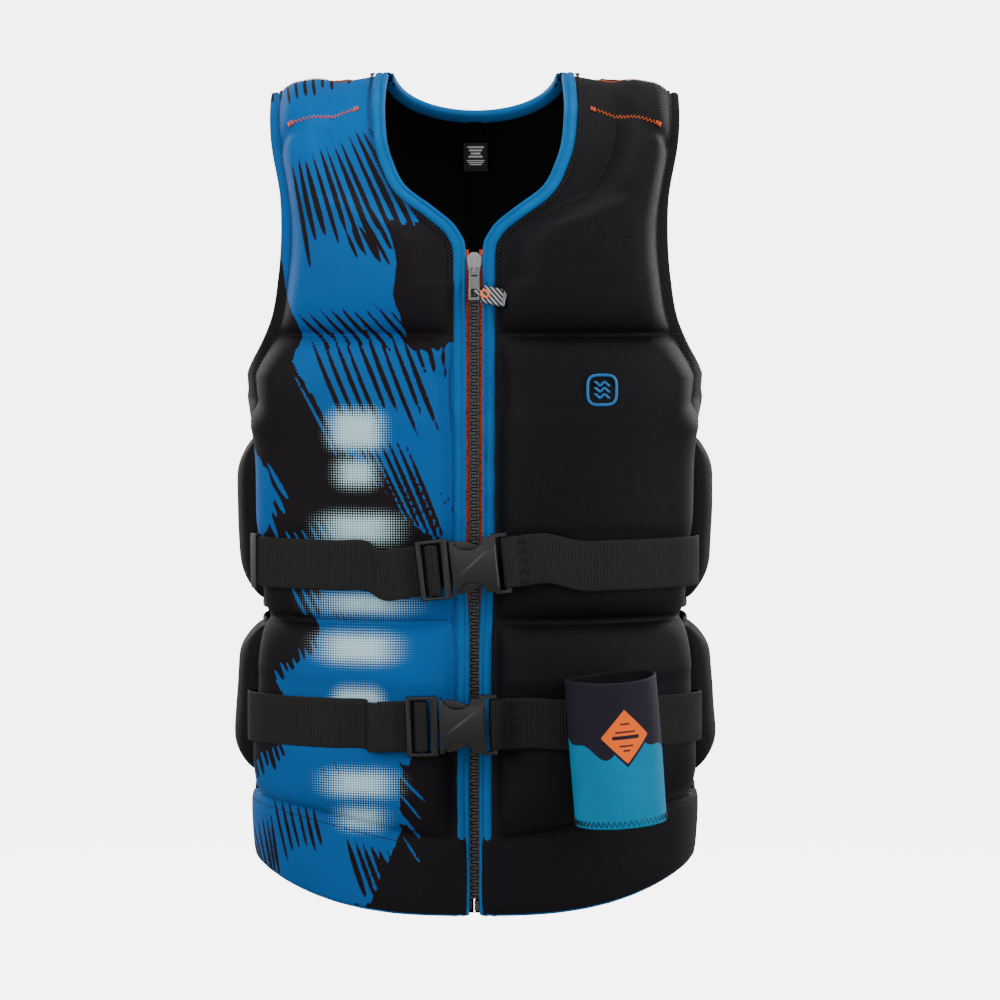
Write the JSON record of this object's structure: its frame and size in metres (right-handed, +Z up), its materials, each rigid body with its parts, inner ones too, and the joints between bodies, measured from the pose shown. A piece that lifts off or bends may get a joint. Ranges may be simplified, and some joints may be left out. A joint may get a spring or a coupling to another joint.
{
  "type": "buoyancy vest",
  "caption": "Sleeveless padded wake-sports flotation vest with a front zip, two buckled webbing belts, side wings and a neoprene can cooler on the lower belt.",
  "frame": {"origin": "centre of the wearer's torso at the height of the hem's lowest point at the centre front", "axes": "+Z up the wearer's body, -Y out of the wearer's chest, +X to the wearer's left"},
  "size_m": [0.3778, 0.3087, 0.6455],
  "materials": {
    "printed_neoprene": "matte",
    "black_neoprene": "matte",
    "foam": "matte",
    "lining": "matte",
    "binding": "satin",
    "zip_tape": "matte",
    "zip_teeth": "satin",
    "slider_metal": "satin",
    "webbing": "satin",
    "keeper_elastic": "matte",
    "buckle_plastic": "satin",
    "badge": "satin",
    "label": "matte",
    "cooler_neoprene": "matte",
    "cooler_base": "matte"
  },
  "bodies": {
    "vest_back": {"back_shell_right": "black_neoprene", "back_shell_left": "black_neoprene", "back_foam_upper": "foam", "back_foam_middle": "foam", "back_foam_lower": "foam", "back_lining_right": "lining", "back_lining_left": "lining", "back_hem_binding": "binding", "back_neck_binding": "binding", "side_wing_upper_right": "black_neoprene", "side_wing_upper_left": "black_neoprene", "side_wing_lower_right": "black_neoprene", "side_wing_lower_left": "black_neoprene", "side_panel_right": "lining", "side_panel_left": "lining", "neck_label": "label"},
    "front_right": {"front_shell_right": "printed_neoprene", "chest_foam_right": "foam", "body_foam_right": "foam", "lower_foam_right": "foam", "front_lining_right": "lining", "edge_binding_right": "binding", "hem_binding_right": "binding", "zip_tape_right": "zip_tape", "zip_teeth_right": "zip_teeth", "zip_pin": "zip_teeth", "upper_belt_right": "webbing", "lower_belt_right": "webbing"},
    "front_left": {"front_shell_left": "black_neoprene", "chest_foam_left": "foam", "body_foam_left": "foam", "lower_foam_left": "foam", "front_lining_left": "lining", "edge_binding_left": "binding", "hem_binding_left": "binding", "zip_tape_left": "zip_tape", "zip_teeth_left": "zip_teeth", "zip_box": "zip_teeth", "upper_belt_left": "webbing", "lower_belt_left": "webbing", "upper_female_buckle": "buckle_plastic", "lower_female_buckle": "buckle_plastic", "chest_badge": "badge"},
    "slider": {"zip_slider": "slider_metal"},
    "pull": {"zip_pull": "slider_metal"},
    "tab": {"pull_tab": "webbing"},
    "upper_male": {"upper_male_buckle": "buckle_plastic"},
    "lower_male": {"lower_male_buckle": "buckle_plastic"},
    "upper_latch_top": {"upper_prong_top": "buckle_plastic"},
    "upper_latch_bottom": {"upper_prong_bottom": "buckle_plastic"},
    "lower_latch_top": {"lower_prong_top": "buckle_plastic"},
    "lower_latch_bottom": {"lower_prong_bottom": "buckle_plastic"},
    "keeper": {"belt_keeper": "keeper_elastic"},
    "cooler": {"cooler_sleeve": "cooler_neoprene", "cooler_base": "cooler_base", "cooler_loop": "black_neoprene"}
  },
  "joints": [
    {"name": "right_panel_swing", "type": "hinge", "parent": "vest_back", "child": "front_right", "pos_m": [-0.178, -0.05, 0.2], "axis": [0, 0, -1], "range_deg": [0, 90]},
    {"name": "left_panel_swing", "type": "hinge", "parent": "vest_back", "child": "front_left", "pos_m": [0.178, -0.05, 0.2], "axis": [0, 0, 1], "range_deg": [0, 90]},
    {"name": "zip_slide", "type": "slide", "parent": "front_left", "child": "slider", "axis": [0, 0, -1], "range_m": [0, 0.472], "deforming": ["zip_teeth_right", "zip_teeth_left"]},
    {"name": "pull_hinge", "type": "hinge", "parent": "slider", "child": "pull", "pos_m": [0, -0.1035, 0.4944], "axis": [-1, 0, 0], "range_deg": [0, 100]},
    {"name": "tab_swing", "type": "hinge", "parent": "pull", "child": "tab", "pos_m": [0.0032, -0.11085, 0.47526], "axis": [0, -0.3584, -0.9336], "range_deg": [0, 100]},
    {"name": "upper_buckle_release", "type": "slide", "parent": "front_right", "child": "upper_male", "axis": [-0.9945, 0, -0.1045], "range_m": [0, 0.045], "deforming": ["upper_belt_right", "upper_prong_top", "upper_prong_bottom"]},
    {"name": "lower_buckle_release", "type": "slide", "parent": "front_right", "child": "lower_male", "axis": [-0.9997, 0, -0.0262], "range_m": [0, 0.045], "deforming": ["lower_belt_right", "lower_prong_top", "lower_prong_bottom"]},
    {"name": "upper_latch_top_squeeze", "type": "hinge", "parent": "upper_male", "child": "upper_latch_top", "pos_m": [-0.01911, -0.129, 0.2819], "axis": [0, 1, 0], "range_deg": [0, 9], "stiffness_Nm_per_rad": 0.05},
    {"name": "upper_latch_bottom_squeeze", "type": "hinge", "parent": "upper_male", "child": "upper_latch_bottom", "pos_m": [-0.01639, -0.129, 0.25605], "axis": [0, -1, 0], "range_deg": [0, 9], "stiffness_Nm_per_rad": 0.05},
    {"name": "lower_latch_top_squeeze", "type": "hinge", "parent": "lower_male", "child": "lower_latch_top", "pos_m": [-0.02714, -0.129, 0.16274], "axis": [0, 1, 0], "range_deg": [0, 9], "stiffness_Nm_per_rad": 0.05},
    {"name": "lower_latch_bottom_squeeze", "type": "hinge", "parent": "lower_male", "child": "lower_latch_bottom", "pos_m": [-0.02646, -0.129, 0.13675], "axis": [0, -1, 0], "range_deg": [0, 9], "stiffness_Nm_per_rad": 0.05},
    {"name": "keeper_slide", "type": "slide", "parent": "front_right", "child": "keeper", "axis": [0.4749, -0.88, 0], "range_m": [-0.004, 0.004]},
    {"name": "cooler_slide", "type": "slide", "parent": "front_left", "child": "cooler", "axis": [0.9679, 0.2514, 0], "range_m": [-0.012, 0.012]}
  ],
  "couplings": [
    {"joint": "upper_latch_bottom_squeeze", "follows": "upper_latch_top_squeeze", "ratio": 1},
    {"joint": "lower_latch_bottom_squeeze", "follows": "lower_latch_top_squeeze", "ratio": 1}
  ]
}
